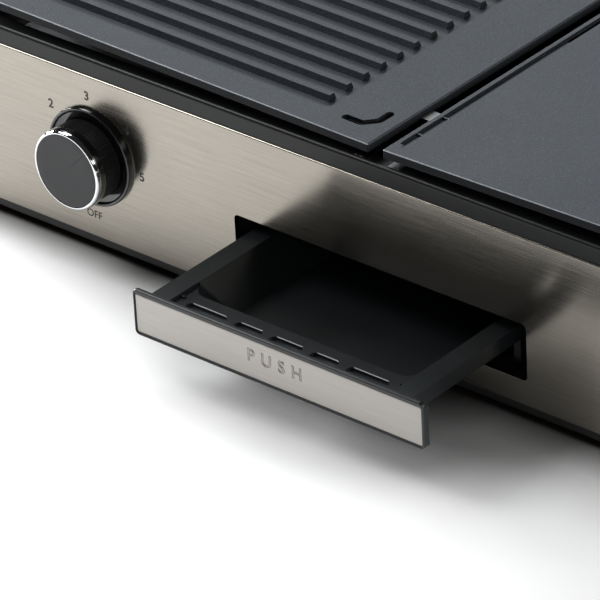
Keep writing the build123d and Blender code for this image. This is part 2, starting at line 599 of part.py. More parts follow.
def drawer_tray():
    """Moulded drawer, drawn closed: front frame, ledge with recesses, hooked rails and basin."""
    frame = facing_block(-FRONT_HALF, FRONT_HALF, 0, FRONT_DEPTH, FRONT_BOTTOM, FRONT_TOP, 2.6)
    frame = fillet(frame.edges().group_by(Axis.Y)[0], 0.8)
    frame -= facing_block(-INLAY_HALF - 0.1, INLAY_HALF + 0.1, -1, INLAY_SINK + INLAY_SHEET,
                          INLAY_BOTTOM - 0.1, INLAY_TOP + 0.1, 1.1)
    frame -= facing_block(-INLAY_HALF - 0.5, INLAY_HALF + 0.5, -1, LIP_STEP,
                          INLAY_BOTTOM - 0.8, INLAY_TOP + 1.3, 1.5)
    frame -= block(-FRONT_HALF + 1.6, FRONT_HALF - 1.6, LIP_DEPTH, FRONT_DEPTH + 1, LEDGE_TOP, FRONT_TOP + 1)
    plate = block(-RAIL_OUTER, RAIL_OUTER, LIP_DEPTH - 0.3, TRAY_LENGTH, RAIL_TOP - TRAY_WALL, RAIL_TOP)
    lowered = block(-RAIL_INNER, RAIL_INNER, LIP_DEPTH, BASIN_FRONT + 8, LEDGE_TOP, RAIL_TOP + 1)
    ledge = block(-RAIL_INNER - 1, RAIL_INNER + 1, LIP_DEPTH - 0.3, BASIN_FRONT + 2,
                  LEDGE_TOP - TRAY_WALL, LEDGE_TOP)
    shell = tray_basin(TRAY_WALL, BASIN_FLOOR - TRAY_WALL, RAIL_TOP - TRAY_WALL)
    tray = plate + ledge + shell - tray_basin(0, BASIN_FLOOR, RAIL_TOP + 0.01) - lowered
    for side in (-1, 1):
        outer, inner = side * RAIL_OUTER, side * (RAIL_OUTER - TRAY_WALL + 0.2)
        x0, x1 = sorted((outer, inner))
        tray += block(x0, x1, LIP_DEPTH - 0.3, TRAY_LENGTH, RAIL_TOP - SKIRT_DROP, RAIL_TOP)
        x0, x1 = sorted((side * (RAIL_OUTER - 1.5), side * (RAIL_OUTER - 3.0)))
        tray += block(x0, x1, TRAY_LENGTH - 2, TRAY_LENGTH, RAIL_TOP - SKIRT_DROP, RAIL_TOP - 1)
        for y in (12, 60, 108, 156):
            x0, x1 = sorted((side * (RAIL_INNER + 0.6), side * (RAIL_INNER - 2.4)))
            tray += block(x0, x1, y - 0.8, y + 0.8, RAIL_TOP - 9, RAIL_TOP - 1) & shell_gap(side)
    striker = block(-5, 5, BASIN_REAR - 8, TRAY_LENGTH, LATCH_Z - 4, LATCH_Z + 4)
    tray += striker - tray_basin(0.5, 24, RAIL_TOP)
    tray += frame
    for centre, long in zip(RECESS_CENTRES, RECESS_LENGTHS):
        x0, x1 = centre - long / 2, centre + long / 2
        tray -= rounded_block(x0, x1, RECESS_FRONT, RECESS_FRONT + RECESS_WIDTH,
                              LEDGE_TOP - RECESS_DEPTH, LEDGE_TOP + 1, RECESS_WIDTH / 2 - 0.05)
    return Pos(0, -DRAWER_OUT, 0) * tray


def shell_gap(side):
    """Space beside the basin, under a rail."""
    x0, x1 = sorted((side * (RAIL_INNER - 3), side * (RAIL_INNER + 2)))
    return block(x0, x1, 0, TRAY_LENGTH, 20, RAIL_TOP) - tray_basin(0.6, 24, RAIL_TOP)


def drawer_inlay():
    """Steel plate in the drawer's front frame."""
    plate = facing_block(-INLAY_HALF, INLAY_HALF, INLAY_SINK, INLAY_SINK + INLAY_SHEET,
                         INLAY_BOTTOM, INLAY_TOP, 1.0)
    return Pos(0, -DRAWER_OUT, 0) * plate


def drawer_housing():
    """Sleeve behind the slot, with a flange against the front sheet and a latch window."""
    half, wall = HOUSING_HALF, HOUSING_WALL
    flange = facing_block(-half - 8, half + 8, SHEET + 0.05, 3.2, HOUSING_FLOOR - 3.2, HOUSING_ROOF + 6, 3)
    sleeve = block(-half - wall, half + wall, 3, HOUSING_REAR + wall,
                   HOUSING_FLOOR - wall, HOUSING_ROOF + 1.6)
    inside = block(-half, half, 0, HOUSING_REAR, HOUSING_FLOOR, HOUSING_ROOF)
    housing = flange + sleeve - inside
    housing -= upright(0, OUTLET_Y, HOUSING_ROOF - 1, HOUSING_ROOF + 3, OUTLET_RADIUS + 1.5)
    window_x, window_z = LATCH_HALF_X + 0.6, LATCH_HALF_Z + 0.6
    housing -= block(-window_x, window_x, HOUSING_REAR - 1, HOUSING_REAR + wall + 1,
                     LATCH_Z - window_z, LATCH_Z + window_z)
    for side in (-1, 1):
        housing -= forward(side * LATCH_SCREW_X, LATCH_Z, HOUSING_REAR - 1, HOUSING_REAR + wall + 1, 1.3)
        for y in (60, 150):
            housing += upright(side * 60, y, BASE_FLOOR, HOUSING_FLOOR - 1, 5)
        for row in range(5):
            y = 40 + row * 30
            housing += block(side * (half + wall + 1) - 1.1, side * (half + wall + 1) + 1.1, y - 1, y + 1,
                             HOUSING_FLOOR - wall, HOUSING_ROOF)
    return housing


def drawer_guide():
    """Right guide rib under the drawer's hooked rail, with a stop near its front end."""
    z0, z1 = HOUSING_FLOOR, RAIL_TOP - TRAY_WALL - 0.3
    rib = block(GUIDE_INNER, GUIDE_OUTER, 12, 192, z0, z1)
    rib = chamfer(rib.edges().filter_by(Axis.X).group_by(Axis.Z)[-1], 2)
    foot = block(GUIDE_INNER - 5, GUIDE_OUTER + 5, 12, 192, z0, z0 + 1.8)
    stop = block(GUIDE_OUTER - 0.1, GUIDE_OUTER + 1.5, 39, 42, z1 - 6, z1 - 0.8)
    return rib + foot + stop


def latch_body():
    """Push latch housing, screwed to the back of the sleeve."""
    rear = HOUSING_REAR + HOUSING_WALL
    half, low, high = LATCH_HALF_X, LATCH_Z - LATCH_HALF_Z, LATCH_Z + LATCH_HALF_Z
    box = block(-half, half, *LATCH_Y, low, high)
    box = fillet(box.edges().filter_by(Axis.Y), 1.5)
    ears = facing_block(-2 * half, 2 * half, rear, rear + 2, low, high, 3)
    bore_half = PLUNGER_HALF + 0.25
    bore = block(-bore_half, bore_half, LATCH_Y[0] - 1, LATCH_Y[1] - 2.5,
                 LATCH_Z - bore_half, LATCH_Z + bore_half)
    body = box + ears - bore
    for side in (-1, 1):
        body -= forward(side * LATCH_SCREW_X, LATCH_Z, rear - 1, rear + 3, 1.3)
    return body


def latch_plunger():
    """Sliding tongue that the drawer's striker meets."""
    tip = TRAY_LENGTH + LATCH_GAP
    half = PLUNGER_HALF
    rod = block(-half, half, tip, PLUNGER_REAR, LATCH_Z - half, LATCH_Z + half)
    rod = chamfer(rod.edges().group_by(Axis.Y)[0], 0.8)
    heart = block(-1.2, 1.2, tip + 5.7, PLUNGER_REAR - 3, LATCH_Z + 2.5, LATCH_Z + half + 1)
    return rod - heart


def latch_spring():
    """Small compression spring behind the plunger."""
    coil = Helix(pitch=1.9, height=9.0, radius=2.6)
    wire = sweep(Plane(origin=coil @ 0, z_dir=coil % 0) * Rectangle(0.62, 0.62), path=coil, is_frenet=True)
    return Pos(0, PLUNGER_REAR + 0.25, LATCH_Z) * Rot(-90, 0, 0) * wire


def latch_screws():
    """Two screws that hold the latch."""
    y = HOUSING_REAR + HOUSING_WALL + 2
    return [pan_head(side * LATCH_SCREW_X, y, LATCH_Z, (0, 1, 0), radius=2.6, height=1.5, shank=3.6,
                     shank_radius=1.25) for side in (-1, 1)]


def foot(x, y):
    """Rubber foot with a stem through the base."""
    pad = upright(x, y, 0, FOOT_HEIGHT, 10)
    pad = chamfer(pad.edges().group_by(Axis.Z)[0], 1.0)
    pad = pad + upright(x, y, FOOT_HEIGHT, BASE_FLOOR + 1.2, 3.9) - upright(x, y, -1, 2.4, 4)
    return pad - upright(x, y, 2, 9, 1.5)


def foot_screws():
    """One screw and washer head on each foot's stem, inside the base."""
    return [pan_head(side * FOOT_X, y, BASE_FLOOR + 1.2, (0, 0, 1), radius=5.5, height=1.6, shank=3.0)
            for side in (-1, 1) for y in FOOT_Y]


def tower_screws():
    """Long screws up the four towers, with their heads under the base."""
    return [pan_head(x, y, FOOT_HEIGHT, (0, 0, -1), radius=3.0, height=1.6, shank=30, shank_radius=1.55)
            for x in (-TOWER_X, TOWER_X) for y in TOWER_Y]


def rear_screws():
    """Screws that hold the rear sheet to the base."""
    return [pan_head(x, BODY_DEPTH, 13.5, (0, 1, 0), shank=2.6, radius=3.0, height=1.4, shank_radius=1.65)
            for x in REAR_SCREW_X]


def terminal_block():
    """Ceramic connector on the base, with six brass screws left plain."""
    (x0, x1), (y0, y1) = TERMINAL_X, TERMINAL_Y
    body = block(x0, x1, y0, y1, BASE_FLOOR, 22)
    body = fillet(body.edges().filter_by(Axis.Z), 2)
    for index in range(3):
        x = x0 + 9 + index * POLE_PITCH
        body -= forward(x, WIRE_Z, y0 - 1, y1 + 1, 2.6)
        for y in (y0 + POLE_INSET, y1 - POLE_INSET):
            body -= upright(x, y, 17, 23, 2.4)
    return body


def terminal_screws():
    """Six brass clamp screws in the connector."""
    first, (y0, y1) = TERMINAL_X[0] + 9, TERMINAL_Y
    return [upright(first + index * POLE_PITCH, y, 17, 20.5, 2.3)
            for index in range(3) for y in (y0 + POLE_INSET, y1 - POLE_INSET)]


def cord_bushing():
    """Moulded bushing where the mains lead passes the rear sheet."""
    y0, y1 = BODY_DEPTH - SHEET, BODY_DEPTH
    profile = [(4.2, y0 - 3), (9.6, y0 - 3), (9.6, y0 - 0.05), (7.4, y0 - 0.05), (7.4, y1 + 0.05),
               (9.8, y1 + 0.05), (9.8, y1 + 2.2), (7.0, y1 + BUSHING_REACH), (4.2, y1 + BUSHING_REACH)]
    return turned(profile, LEAD_X, LEAD_Z)


def cord_clamp():
    """Clamp bridge on a stand, just inside the bushing."""
    x0, x1, low, high = LEAD_X - CLAMP_HALF, LEAD_X + CLAMP_HALF, LEAD_Z - 4.5, LEAD_Z + 4.5
    stand = block(x0, x1, *CLAMP_Y, BASE_FLOOR, low)
    bridge = block(x0, x1, *CLAMP_Y, high, high + 3.5)
    left_pillar = block(x0, x0 + 5, *CLAMP_Y, low - 0.5, high + 0.5)
    right_pillar = block(x1 - 5, x1, *CLAMP_Y, low - 0.5, high + 0.5)
    return stand + bridge + left_pillar + right_pillar


def lead_wire(points, radius=1.3, bend=5):
    """One insulated wire along a bent line."""
    path = FilletPolyline(*points, radius=bend)
    return sweep(Plane(origin=path @ 0, z_dir=path % 0) * Circle(radius), path=path)


def wiring(side):
    """Wires of one side: connector to thermostat tab, and thermostat tab to element tail."""
    x, tail_y, end_x = side * KNOB_X, ELEMENT_Y[1] + 16, side * ELEMENT_X[-1]
    tab_z, tail_z, start_y = KNOB_Z - 6.5, KNOB_Z - 18, TERMINAL_Y[0] - 0.5
    low_x, high_x, cross_y = x - 9, x + 9, 228.0
    near_pole, far_pole = TERMINAL_X[0] + 9, TERMINAL_X[0] + 9 + 2 * POLE_PITCH
    if side < 0:
        supply = [(near_pole, start_y, WIRE_Z), (near_pole, TAB_Y, WIRE_Z), (low_x, TAB_Y, WIRE_Z),
                  (low_x, TAB_Y, tab_z)]
    else:
        supply = [(far_pole, start_y, WIRE_Z), (far_pole, cross_y, WIRE_Z), (low_x, cross_y, WIRE_Z),
                  (low_x, TAB_Y, WIRE_Z), (low_x, TAB_Y, tab_z)]
    tail = [(high_x, TAB_Y, tab_z), (high_x, TAB_Y, tail_z), (high_x, tail_y, tail_z),
            (end_x, tail_y, tail_z), (end_x, tail_y, 57.9)]
    return [lead_wire(supply), lead_wire(tail)]


def write(name, pieces):
    """One STEP file for a node, moved so that the footprint's middle is the origin."""
    pieces = pieces if isinstance(pieces, list) else [pieces]
    solids = [solid for piece in pieces for solid in piece.solids()]
    node = Compound(children=[Pos(0, FRONT_Y, 0) * solid for solid in solids])
    node.label = name
    export_step(node, f"parts/{name}.step")


def both_sides(name, right, left=None):
    """Writes a right piece and its left fellow."""
    write(f"right_{name}", right)
    if left is None:
        left = [other_side(piece) for piece in right] if isinstance(right, list) else other_side(right)
    write(f"left_{name}", left)


write("front_fascia", front_fascia())
write("base_pan", base_pan())
both_sides("side_panel", side_panel())
write("rear_panel", rear_panel())
write("upper_housing", upper_housing())
both_sides("reflector", reflector())
both_sides("heating_element", heating_element())
both_sides("element_clips", element_clips())
both_sides("plate_rests", plate_rests(1), plate_rests(-1))
write("rest_rivets", rest_rivets())
write("grease_funnel", grease_funnel())
write("plate_spacers", plate_spacers())
write("left_grill_plate", grill_plate())
write("right_plancha_plate", plancha_plate())
write("drawer_tray", drawer_tray())
write("drawer_inlay", drawer_inlay())
write("drawer_housing", drawer_housing())
both_sides("drawer_guide", drawer_guide())
write("latch_body", latch_body())
write("latch_plunger", latch_plunger())
write("latch_spring", latch_spring())
write("latch_screws", latch_screws())
for piece, name in ((thermostat(), "thermostat"), (thermostat_shaft(), "thermostat_shaft"), (bezel(), "bezel"),
                    (knob_grip(), "knob_grip"), (knob_ring(), "knob_ring"), (knob_face(), "knob_face")):
    both_sides(name, piece, left_of(piece))
write("thermostat_screws", thermostat_screws())
for name, x, y in (("front_left", -1, 0), ("front_right", 1, 0), ("rear_left", -1, 1), ("rear_right", 1, 1)):
    write(f"foot_{name}", foot(x * FOOT_X, FOOT_Y[y]))
write("foot_screws", foot_screws())
write("tower_screws", tower_screws())
write("rear_screws", rear_screws())
write("terminal_block", terminal_block())
write("terminal_screws", terminal_screws())
write("cord_bushing", cord_bushing())
write("cord_clamp", cord_clamp())
both_sides("wiring", wiring(1), wiring(-1))
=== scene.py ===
import json
from math import cos, pi, radians, sin

import bmesh
import bpy
from mathutils import Matrix, Vector


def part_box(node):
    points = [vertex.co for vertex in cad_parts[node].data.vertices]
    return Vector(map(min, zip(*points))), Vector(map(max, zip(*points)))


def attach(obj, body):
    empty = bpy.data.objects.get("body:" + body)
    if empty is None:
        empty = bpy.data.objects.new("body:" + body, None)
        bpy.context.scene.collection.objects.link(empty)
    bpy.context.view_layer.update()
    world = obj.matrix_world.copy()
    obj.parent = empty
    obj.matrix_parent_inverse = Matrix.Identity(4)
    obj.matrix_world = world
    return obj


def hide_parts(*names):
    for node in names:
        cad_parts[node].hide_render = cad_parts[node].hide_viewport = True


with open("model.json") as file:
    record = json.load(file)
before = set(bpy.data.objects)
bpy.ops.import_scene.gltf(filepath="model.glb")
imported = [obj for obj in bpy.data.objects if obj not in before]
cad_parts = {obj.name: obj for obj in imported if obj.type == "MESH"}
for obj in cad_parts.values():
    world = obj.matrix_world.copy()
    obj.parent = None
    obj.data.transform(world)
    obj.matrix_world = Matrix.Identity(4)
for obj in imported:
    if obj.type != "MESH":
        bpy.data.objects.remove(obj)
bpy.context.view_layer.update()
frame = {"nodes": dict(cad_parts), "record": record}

MM = 0.001

# The front sheet's outer face in metres. Each y below is counted back from it, in millimetres.
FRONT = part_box("front_fascia")[0].y
# How far the drawer stands out in the photograph.
DRAWER_OUT = 73.5
# The right knob's axis. The left one is its mirror image.
KNOB_X = 177.1
KNOB_Z = 54.0


# Placing and selecting

def at(x, y, z):
    """Point in metres of a place in millimetres from the middle, the front sheet and the worktop."""
    return Vector((x * MM, y * MM + FRONT, z * MM))


def deselect():
    bpy.ops.object.select_all(action="DESELECT")


def take(piece):
    """Makes one piece the only selected and active one."""
    deselect()
    piece.select_set(True)
    bpy.context.view_layer.objects.active = piece
    return piece


def placed(name):
    """Names the piece just added and puts its place into its mesh."""
    piece = bpy.context.object
    piece.name = name
    piece.data.name = name
    bpy.ops.object.transform_apply(location=True, rotation=True, scale=True)
    return piece


def block(name, x0, x1, y0, y1, z0, z1):
    """Block between two corners given in millimetres."""
    deselect()
    low, high = at(x0, y0, z0), at(x1, y1, z1)
    bpy.ops.mesh.primitive_cube_add(size=1, location=(low + high) / 2, scale=high - low)
    return placed(name)


def edit(piece, kind, test):
    """Opens a piece in edit mode with the faces, edges or corners selected that pass the test.

    The test is given the middle in millimetres, and a direction: along an edge, outward otherwise.
    """
    take(piece)
    bpy.ops.object.mode_set(mode="EDIT")
    bpy.ops.mesh.select_mode(type=kind)
    bpy.ops.mesh.select_all(action="DESELECT")
    mesh = bmesh.from_edit_mesh(piece.data)
    mesh.normal_update()
    for item in {"FACE": mesh.faces, "EDGE": mesh.edges, "VERT": mesh.verts}[kind]:
        if kind == "FACE":
            middle, direction = item.calc_center_median(), item.normal
        elif kind == "EDGE":
            middle = (item.verts[0].co + item.verts[1].co) / 2
            direction = (item.verts[1].co - item.verts[0].co).normalized()
        else:
            middle, direction = item.co, item.normal
        place = Vector((middle.x / MM, (middle.y - FRONT) / MM, middle.z / MM))
        if test(place, direction):
            item.select_set(True)
    mesh.select_flush_mode()
    bmesh.update_edit_mesh(piece.data)


def leave():
    bpy.ops.object.mode_set(mode="OBJECT")


def inset(thickness, depth=0.0):
    """Insets the selected faces by a thickness and a depth in millimetres."""
    bpy.ops.mesh.inset(thickness=thickness * MM, depth=depth * MM, use_even_offset=True)


def pull(x, y, z):
    """Extrudes what is selected by a distance in millimetres."""
    bpy.ops.mesh.extrude_region_move(TRANSFORM_OT_translate={"value": (x * MM, y * MM, z * MM)})


def modify(piece, kind, **settings):
    """Adds a modifier and applies it."""
    take(piece)
    modifier = piece.modifiers.new(kind.lower(), kind)
    for setting, value in settings.items():
        setattr(modifier, setting, value)
    bpy.ops.object.modifier_apply(modifier=modifier.name)
    return piece


def cut(piece, tool):
    """Takes a tool's shape away from a piece, and removes the tool."""
    modify(piece, "BOOLEAN", operation="DIFFERENCE", solver="EXACT", object=tool)
    bpy.data.objects.remove(tool)
    return piece


def join(name, pieces):
    """Makes one named piece of several."""
    deselect()
    for piece in pieces:
        piece.select_set(True)
    bpy.context.view_layer.objects.active = pieces[0]
    bpy.ops.object.join()
    pieces[0].name = name
    pieces[0].data.name = name
    return pieces[0]


def soften(piece, width, material):
    """Rounds the sharp edges and smooths what curves, leaving flat faces flat.

    The rounded edges take the finish of one slot, or of the faces beside them if it is -1.
    """
    take(piece)
    bpy.ops.object.shade_smooth()
    modify(piece, "BEVEL", width=width * MM, segments=2, limit_method="ANGLE", angle_limit=radians(38),
           use_clamp_overlap=True, material=material)
    modify(piece, "WEIGHTED_NORMAL", mode="FACE_AREA", weight=100)
    return piece


def smooth(piece, angle=35):
    """Smooths what curves, and keeps the edges that turn by more than an angle in degrees."""
    take(piece)
    bpy.ops.object.shade_smooth_by_angle(angle=radians(angle))
    return piece


def turned(name, profile):
    """Closed profile of (radius, y) points spun about the right knob's axis."""
    deselect()
    radius, y = profile[0]
    bpy.ops.mesh.primitive_plane_add(size=0.1 * MM, location=at(KNOB_X + radius, y, KNOB_Z))
    piece = placed(name)
    edit(piece, "VERT", lambda place, direction: True)
    bpy.ops.mesh.merge(type="CENTER")
    for (r0, y0), (r1, y1) in zip(profile, profile[1:] + profile[:1]):
        pull(r1 - r0, y1 - y0, 0)
    bpy.ops.mesh.select_all(action="SELECT")
    bpy.ops.mesh.spin(steps=144, angle=2 * pi, center=at(KNOB_X, 0, KNOB_Z), axis=(0, 1, 0))
    bpy.ops.mesh.select_all(action="SELECT")
    bpy.ops.mesh.remove_doubles(threshold=0.004 * MM)
    bpy.ops.mesh.normals_make_consistent(inside=False)
    leave()
    return piece


# Height of a capital letter as a share of the lettering's size.
CAPITAL_HEIGHT = 0.72


def words(name, text, height, outline=0.0, weight=0.0, spacing=1.0):
    """Flat lettering about the origin, made a mesh. With an outline, only its raised outlines are left."""
    deselect()
    bpy.ops.object.text_add(location=(0, 0, 0))
    lettering = bpy.context.object
    lettering.name = name
    lettering.data.body = text
    lettering.data.size = height * MM / CAPITAL_HEIGHT
    lettering.data.align_x = "CENTER"
    lettering.data.align_y = "CENTER"
    lettering.data.offset = weight * MM
    lettering.data.space_character = spacing
    lettering.data.resolution_u = 6
    if outline:
        lettering.data.fill_mode = "NONE"
        lettering.data.bevel_depth = outline * MM
        lettering.data.bevel_resolution = 2
    bpy.ops.object.convert(target="MESH")
    return bpy.context.object


def stand_at(piece, x, y, z):
    """Stands flat lettering up against the front at a place in millimetres."""
    piece.data.transform(Matrix.Translation(at(x, y, z)) @ Matrix.Rotation(pi / 2, 4, "X"))
    return piece


def patched(piece, finish, test):
    """Gives the faces that pass the test a finish of their own."""
    piece.data.materials.append(finish)
    edit(piece, "FACE", test)
    piece.active_material_index = len(piece.data.materials) - 1
    bpy.ops.object.material_slot_assign()
    leave()


# The plates' upper edges that get a painted highlight: those in front and those beside the gap.
PLATE_FRONT = 3.6
PLATE_GAP = 5.4


def painted_highlight_face(place, direction):
    """Whether a face is a rounded upper edge that looks to the front or to the left, and so gets a painted
    highlight.
    """
    if not 0.45 < direction.z < 0.93:
        return False
    in_front = place.y < PLATE_FRONT and direction.y < -0.3
    beside_gap = abs(place.x) < PLATE_GAP and direction.x < -0.3
    return in_front or beside_gap


def from_frame(node, width=0.0, edges=None, walls=None):
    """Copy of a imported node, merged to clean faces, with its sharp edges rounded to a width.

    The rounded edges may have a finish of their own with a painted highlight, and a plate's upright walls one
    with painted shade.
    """
    piece = bpy.data.objects.new(f"{node}_worked", frame["nodes"][node].data.copy())
    bpy.context.scene.collection.objects.link(piece)
    paint(piece, FINISHES[SLOTS[node]])
    take(piece)
    bpy.ops.mesh.customdata_custom_splitnormals_clear()
    edit(piece, "VERT", lambda place, direction: True)
    bpy.ops.mesh.remove_doubles(threshold=0.002 * MM)
    bpy.ops.mesh.select_all(action="SELECT")
    bpy.ops.mesh.dissolve_limited(angle_limit=radians(0.5))
    leave()
    if walls:
        # The upright walls get a darker, duller copy of the coat: painted shade.
        patched(piece, walls, lambda place, direction: abs(direction.z) < 0.3)
        # The plates' rounded upper edges facing front and left get the painted highlight.
        patched(piece, edges, painted_highlight_face)
    # Otherwise any edge finish goes on the rounded edges; on the steel front it is a painted highlight.
    elif edges:
        piece.data.materials.append(edges)
    if width:
        soften(piece, width, len(piece.data.materials) - 1 if edges else -1)
    else:
        smooth(piece)
    return piece


# Finishes

class Socket:
    """A shader socket that Python expressions can use as a number."""

    def __init__(self, finish, socket):
        self.finish = finish
        self.socket = socket

    def worked(self, operation, first, second):
        return self.finish.node("ShaderNodeMath", {"operation": operation}, {0: first, 1: second})

    def __add__(self, other):
        return self.worked("ADD", self, other)

    def __sub__(self, other):
        return self.worked("SUBTRACT", self, other)

    def __rsub__(self, other):
        return self.worked("SUBTRACT", other, self)

    def __mul__(self, other):
        return self.worked("MULTIPLY", self, other)


class Finish:
    """One material: a principled shader, and a node method that adds any other node."""

    def __init__(self, name, **constants):
        self.material = bpy.data.materials.new(name)
        self.material.use_nodes = True
        self.tree = self.material.node_tree
        self.shader = self.tree.nodes["Principled BSDF"]
        for socket, value in constants.items():
            self.shader.inputs[socket.replace("_", " ")].default_value = value
        self.position = self.node("ShaderNodeTexCoord", {}, {}, "Object")

    def node(self, kind, settings, values, output=0):
        """Adds a node: its settings first, then its sockets' values or links."""
        node = self.tree.nodes.new(kind)
        for name, value in settings.items():
            setattr(node, name, value)
        for name, value in values.items():
            self.set(node.inputs[name], value)
        return Socket(self, node.outputs[output])

    def set(self, socket, value):
        """Links a socket to another one, or gives it a constant."""
        if isinstance(value, Socket):
            self.tree.links.new(value.socket, socket)
        else:
            socket.default_value = value

    def feed(self, name, value):
        """Sets an input of the principled shader."""
        self.set(self.shader.inputs[name], value)

    def axis(self, name):
        return self.node("ShaderNodeSeparateXYZ", {}, {0: self.position}, name)

    def stretched(self, scale):
        return self.node("ShaderNodeMapping", {}, {"Vector": self.position, "Scale": scale})

    def noise(self, scale, detail=3.0, roughness=0.55, vector=None):
        return self.node("ShaderNodeTexNoise", {}, {"Vector": vector or self.position, "Scale": scale,
                                                    "Detail": detail, "Roughness": roughness})

    def cells(self, scale):
        return self.node("ShaderNodeTexVoronoi", {}, {"Vector": self.position, "Scale": scale}, "Distance")

    def shaded(self, distance):
        """Number that is 1 in the open and goes down near other surfaces, within a distance in millimetres."""
        return self.node("ShaderNodeAmbientOcclusion", {"samples": 16}, {"Distance": distance * MM}, "AO")

    def tint(self, factor, first, second):
        """Colour that goes from the first to the second with the factor."""
        return self.node("ShaderNodeMix", {"data_type": "RGBA"}, {0: factor, 6: first, 7: second}, 2)

    def ramp(self, value, low, high):
        """Number that goes from 0 to 1 as the value goes from low to high."""
        return self.node("ShaderNodeMapRange", {"clamp": True}, {0: value, 1: low, 2: high, 3: 0.0, 4: 1.0})

    def relief(self, height, distance, strength=1.0):
        """Bump of a height in millimetres."""
        sizes = {"Height": height, "Distance": distance * MM, "Strength": strength}
        return self.node("ShaderNodeBump", {}, sizes)


def shade(colour, factor=1.0):
    """Colour made lighter or darker by a factor, with its opacity added."""
    return tuple(min(1.0, channel * factor) for channel in colour) + (1.0,)


def brushed(name, colour, along="X", roughness=0.3, contrast=0.1, relief=0.012):
    """Steel with a grain of long scratches along one axis, which smears mirrored things across it."""
    finish = Finish(name, Metallic=1.0, Anisotropic=0.78, Anisotropic_Rotation=0.25 if along == "X" else 0.0)
    scale = tuple(22.0 if axis == along else 1500.0 for axis in "XYZ")
    fine = tuple(60.0 if axis == along else 3600.0 for axis in "XYZ")
    grain = finish.noise(1.0, 3.0, 0.6, finish.stretched(scale))
    hair = finish.noise(1.0, 2.0, 0.6, finish.stretched(fine))
    cloud = finish.noise(7.0, 2.0, 0.5)
    mark = grain * 0.6 + hair * 0.4
    finish.feed("Base Color", finish.tint(finish.ramp(mark + cloud * 0.25, 0.38, 0.84),
                                          shade(colour, 1 - contrast), shade(colour, 1 + contrast)))
    finish.feed("Roughness", finish.ramp(mark, 0.25, 0.75) * 0.08 + (roughness - 0.04))
    finish.feed("Normal", finish.relief(mark, relief))
    return finish.material


def moulded(name, colour, roughness, relief=0.012, coat=0.0):
    """Plastic with the fine grain of its mould."""
    finish = Finish(name, Coat_Weight=coat, Coat_Roughness=0.12)
    fine = finish.noise(3000.0, 3.0, 0.6)
    broad = finish.noise(38.0, 2.0, 0.5)
    finish.feed("Base Color", finish.tint(broad, shade(colour, 0.88), shade(colour, 1.12)))
    finish.feed("Roughness", broad * 0.1 + fine * 0.08 + (roughness - 0.09))
    finish.feed("Normal", finish.relief(fine, relief, 0.8))
    return finish.material


def coated(name, colour, roughness, speckle=0.35, relief=0.02, specular=0.5):
    """Cast aluminium under a speckled non-stick coat."""
    finish = Finish(name, Metallic=0.0, IOR=1.5, Specular_IOR_Level=specular)
    flake = finish.cells(1500.0)
    fine = finish.noise(1300.0, 3.0, 0.65)
    broad = finish.noise(16.0, 3.0, 0.5)
    light = finish.ramp(flake, 0.5, 0.2) * finish.ramp(fine, 0.38, 0.6)
    base = finish.tint(broad, shade(colour, 0.88), shade(colour, 1.12))
    finish.feed("Base Color", finish.tint(light * speckle, base, shade(colour, 5)))
    finish.feed("Roughness", broad * 0.12 + fine * 0.12 + (roughness - 0.12))
    finish.feed("Normal", finish.relief(fine + flake * 0.5, relief, 0.8))
    return finish.material


def enamelled(name, colour, roughness, specular=0.5):
    """Satin baked enamel with a slight orange peel."""
    finish = Finish(name, IOR=1.5, Specular_IOR_Level=specular)
    peel = finish.noise(420.0, 2.0, 0.5)
    dust = finish.noise(2600.0, 2.0, 0.6)
    finish.feed("Base Color", finish.tint(peel * 0.5 + dust * 0.5, shade(colour, 0.9), shade(colour, 1.12)))
    finish.feed("Roughness", dust * 0.12 + (roughness - 0.06))
    finish.feed("Normal", finish.relief(peel + dust * 0.3, 0.015, 0.7))
    return finish.material


def plated(name, colour, roughness=0.06):
    """Polished plating with a trace of haze."""
    finish = Finish(name, Metallic=1.0)
    haze = finish.noise(90.0, 3.0, 0.6)
    finish.feed("Base Color", finish.tint(haze, shade(colour, 0.97), shade(colour, 1.02)))
    finish.feed("Roughness", haze * 0.05 + (roughness - 0.02))
    return finish.material


def scorched(name, colour):
    """Heater sheath: bare steel darkened by heat, bluish and brown in patches."""
    finish = Finish(name, Metallic=1.0)
    patch = finish.noise(34.0, 4.0, 0.6)
    fine = finish.noise(1800.0, 3.0, 0.6)
    warm = finish.tint(finish.ramp(patch, 0.35, 0.65), shade(colour), (0.11, 0.085, 0.07, 1.0))
    finish.feed("Base Color", finish.tint(finish.ramp(fine, 0.5, 0.8), warm, (0.2, 0.2, 0.23, 1.0)))
    finish.feed("Roughness", fine * 0.2 + 0.38)
    finish.feed("Normal", finish.relief(fine, 0.01))
    return finish.material


def sleeved(name, colour):
    """Braided heat sleeve of a wire."""
    finish = Finish(name)
    braid = finish.node("ShaderNodeTexWave", {"bands_direction": "DIAGONAL"},
                        {"Vector": finish.position, "Scale": 420.0, "Distortion": 1.0})
    finish.feed("Base Color", finish.tint(braid, shade(colour, 0.75), shade(colour, 1.15)))
    finish.feed("Roughness", braid * 0.1 + 0.6)
    finish.feed("Normal", finish.relief(braid, 0.05, 0.6))
    return finish.material


